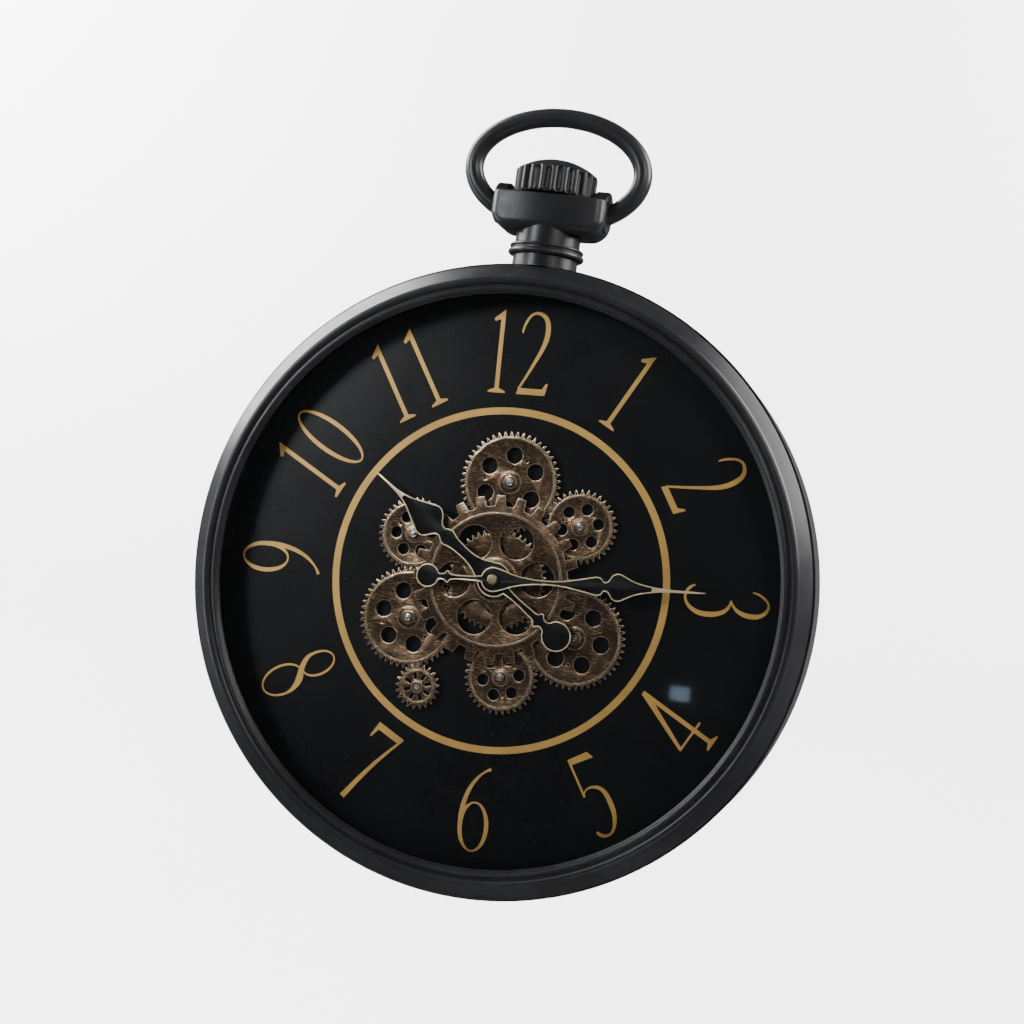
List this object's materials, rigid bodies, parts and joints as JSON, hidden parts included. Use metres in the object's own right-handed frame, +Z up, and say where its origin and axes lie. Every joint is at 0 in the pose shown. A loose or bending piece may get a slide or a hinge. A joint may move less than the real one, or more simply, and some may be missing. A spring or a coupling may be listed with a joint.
{
  "type": "pocket watch shaped gear wall clock",
  "caption": "Round black wall clock shaped like a giant pocket watch, with fluted crown and bow ring, gold numerals, and bronze gears that turn on the dial behind glass.",
  "frame": {"origin": "on the hands' spindle axis at the back plane of the case, where it bears on the wall", "axes": "+Y into the wall along the spindle axis, -Y towards the room, +Z up to 12 o'clock and the crown, +X to 3 o'clock"},
  "size_m": [0.52, 0.0765, 0.656],
  "materials": {
    "case_black": "satin black enamel",
    "cast_black": "cast, satin black enamel",
    "cover_board": "hardboard, painted matt black",
    "inner_black": "matt black paint",
    "glass": "clear polished glass",
    "dial_black": "gloss black",
    "gold_print": "satin gold",
    "bronze": "antique brushed bronze",
    "bush_brass": "turned brass",
    "hand_black": "semi-gloss black",
    "hand_edge": "pale gold plated edge",
    "bright_steel": "bright zinc plated steel",
    "black_plastic": "moulded matt",
    "white_plastic": "moulded acetal",
    "battery_sleeve": "plain printed sleeve",
    "coil_copper": "enamelled copper wire",
    "board_green": "solder resist"
  },
  "bodies": {
    "clock_case": {"back_cover": "cover_board", "back_cover_screws": "bright_steel", "battery_hatches": "black_plastic", "battery_tray": "black_plastic", "bezel_screws": "bright_steel", "case_drum": "case_black", "centre_tube": "bush_brass", "circuit_board": "board_green", "clock_battery": "battery_sleeve", "crown_cap": "cast_black", "crown_knob": "cast_black", "crown_stem": "bright_steel", "crown_yoke": "cast_black", "dial_board": "dial_black", "dial_ring": "gold_print", "dial_screws": "bright_steel", "dial_shroud": "inner_black", "front_bezel": "cast_black", "front_glass": "glass", "gear_batteries": "battery_sleeve", "gear_posts": "bright_steel", "gear_screws": "bright_steel", "gear_washers": "bronze", "gearbox_case": "black_plastic", "gearbox_lid": "black_plastic", "glass_spring_ring": "inner_black", "hanger_plate": "bright_steel", "hanger_rivets": "bright_steel", "hour_numerals": "gold_print", "motor_can": "bright_steel", "movement_case": "black_plastic", "movement_lid": "black_plastic", "movement_nut": "bush_brass", "neck_collar": "cast_black", "pendant_neck": "cast_black", "stem_nut": "bright_steel", "stepper_coil": "coil_copper"},
    "great_train": {"centre_gear": "bronze", "great_gear": "bronze", "centre_bush": "bush_brass"},
    "top_wheel": {"top_gear": "bronze"},
    "left_wheel": {"left_gear": "bronze"},
    "right_wheel": {"right_gear": "bronze"},
    "upper_right_wheel": {"upper_right_gear": "bronze"},
    "bottom_wheel": {"bottom_gear": "bronze"},
    "upper_left_wheel": {"upper_left_gear": "bronze"},
    "drive_wheel": {"drive_pinion": "bronze", "motor_shaft": "bright_steel"},
    "motor_wheel": {"motor_pinion": "bush_brass"},
    "minute_hand": {"minute_hand_plate": "hand_black", "minute_hand_edge": "hand_edge", "minute_arbor": "bush_brass", "hand_nut": "bush_brass"},
    "hour_hand": {"hour_hand_plate": "hand_black", "hour_hand_edge": "hand_edge", "hour_hand_bush": "bush_brass", "hour_wheel": "white_plastic"},
    "setting_train": {"setting_wheel": "white_plastic", "setting_knob": "white_plastic"},
    "bow": {"bow_ring": "cast_black"}
  },
  "joints": [
    {"name": "great_gear_spin", "type": "hinge", "parent": "clock_case", "child": "great_train", "pos_m": [0, -0.05, 0], "axis": [0, -1, 0], "continuous": true},
    {"name": "top_gear_spin", "type": "hinge", "parent": "clock_case", "child": "top_wheel", "pos_m": [0.00014, -0.05, 0.08085], "axis": [0, -1, 0], "continuous": true},
    {"name": "left_gear_spin", "type": "hinge", "parent": "clock_case", "child": "left_wheel", "pos_m": [-0.06959, -0.05, -0.04116], "axis": [0, -1, 0], "continuous": true},
    {"name": "right_gear_spin", "type": "hinge", "parent": "clock_case", "child": "right_wheel", "pos_m": [0.07139, -0.05, -0.03796], "axis": [0, -1, 0], "continuous": true},
    {"name": "upper_right_gear_spin", "type": "hinge", "parent": "clock_case", "child": "upper_right_wheel", "pos_m": [0.06325, -0.05, 0.05222], "axis": [0, -1, 0], "continuous": true},
    {"name": "bottom_gear_spin", "type": "hinge", "parent": "clock_case", "child": "bottom_wheel", "pos_m": [0.01525, -0.05, -0.07859], "axis": [0, -1, 0], "continuous": true},
    {"name": "upper_left_gear_spin", "type": "hinge", "parent": "clock_case", "child": "upper_left_wheel", "pos_m": [-0.07503, -0.05, 0.02793], "axis": [0, -1, 0], "continuous": true},
    {"name": "drive_pinion_spin", "type": "hinge", "parent": "clock_case", "child": "drive_wheel", "pos_m": [-0.05367, -0.05, -0.09667], "axis": [0, -1, 0], "continuous": true},
    {"name": "motor_pinion_spin", "type": "hinge", "parent": "clock_case", "child": "motor_wheel", "pos_m": [-0.04167, -0.03, -0.09667], "axis": [0, -1, 0], "continuous": true},
    {"name": "minute_hand_turn", "type": "hinge", "parent": "clock_case", "child": "minute_hand", "pos_m": [0, -0.06, 0], "axis": [0, -1, 0], "continuous": true},
    {"name": "hour_hand_turn", "type": "hinge", "parent": "clock_case", "child": "hour_hand", "pos_m": [0, -0.058, 0], "axis": [0, -1, 0], "continuous": true},
    {"name": "setting_knob_turn", "type": "hinge", "parent": "clock_case", "child": "setting_train", "pos_m": [0, -0.025, -0.01], "axis": [0, -1, 0], "continuous": true},
    {"name": "bow_swing", "type": "hinge", "parent": "clock_case", "child": "bow", "pos_m": [0, -0.038, 0.311], "axis": [1, 0, 0], "range_deg": [-20, 90]}
  ],
  "couplings": [
    {"joint": "top_gear_spin", "follows": "great_gear_spin", "ratio": -1},
    {"joint": "left_gear_spin", "follows": "great_gear_spin", "ratio": -1},
    {"joint": "right_gear_spin", "follows": "great_gear_spin", "ratio": -1},
    {"joint": "upper_right_gear_spin", "follows": "great_gear_spin", "ratio": 1.4},
    {"joint": "bottom_gear_spin", "follows": "great_gear_spin", "ratio": 1.4},
    {"joint": "upper_left_gear_spin", "follows": "great_gear_spin", "ratio": 1.4},
    {"joint": "drive_pinion_spin", "follows": "great_gear_spin", "ratio": 2.3333},
    {"joint": "motor_pinion_spin", "follows": "great_gear_spin", "ratio": -7},
    {"joint": "hour_hand_turn", "follows": "minute_hand_turn", "ratio": 0.083333},
    {"joint": "setting_knob_turn", "follows": "minute_hand_turn", "ratio": -0.33333}
  ]
}
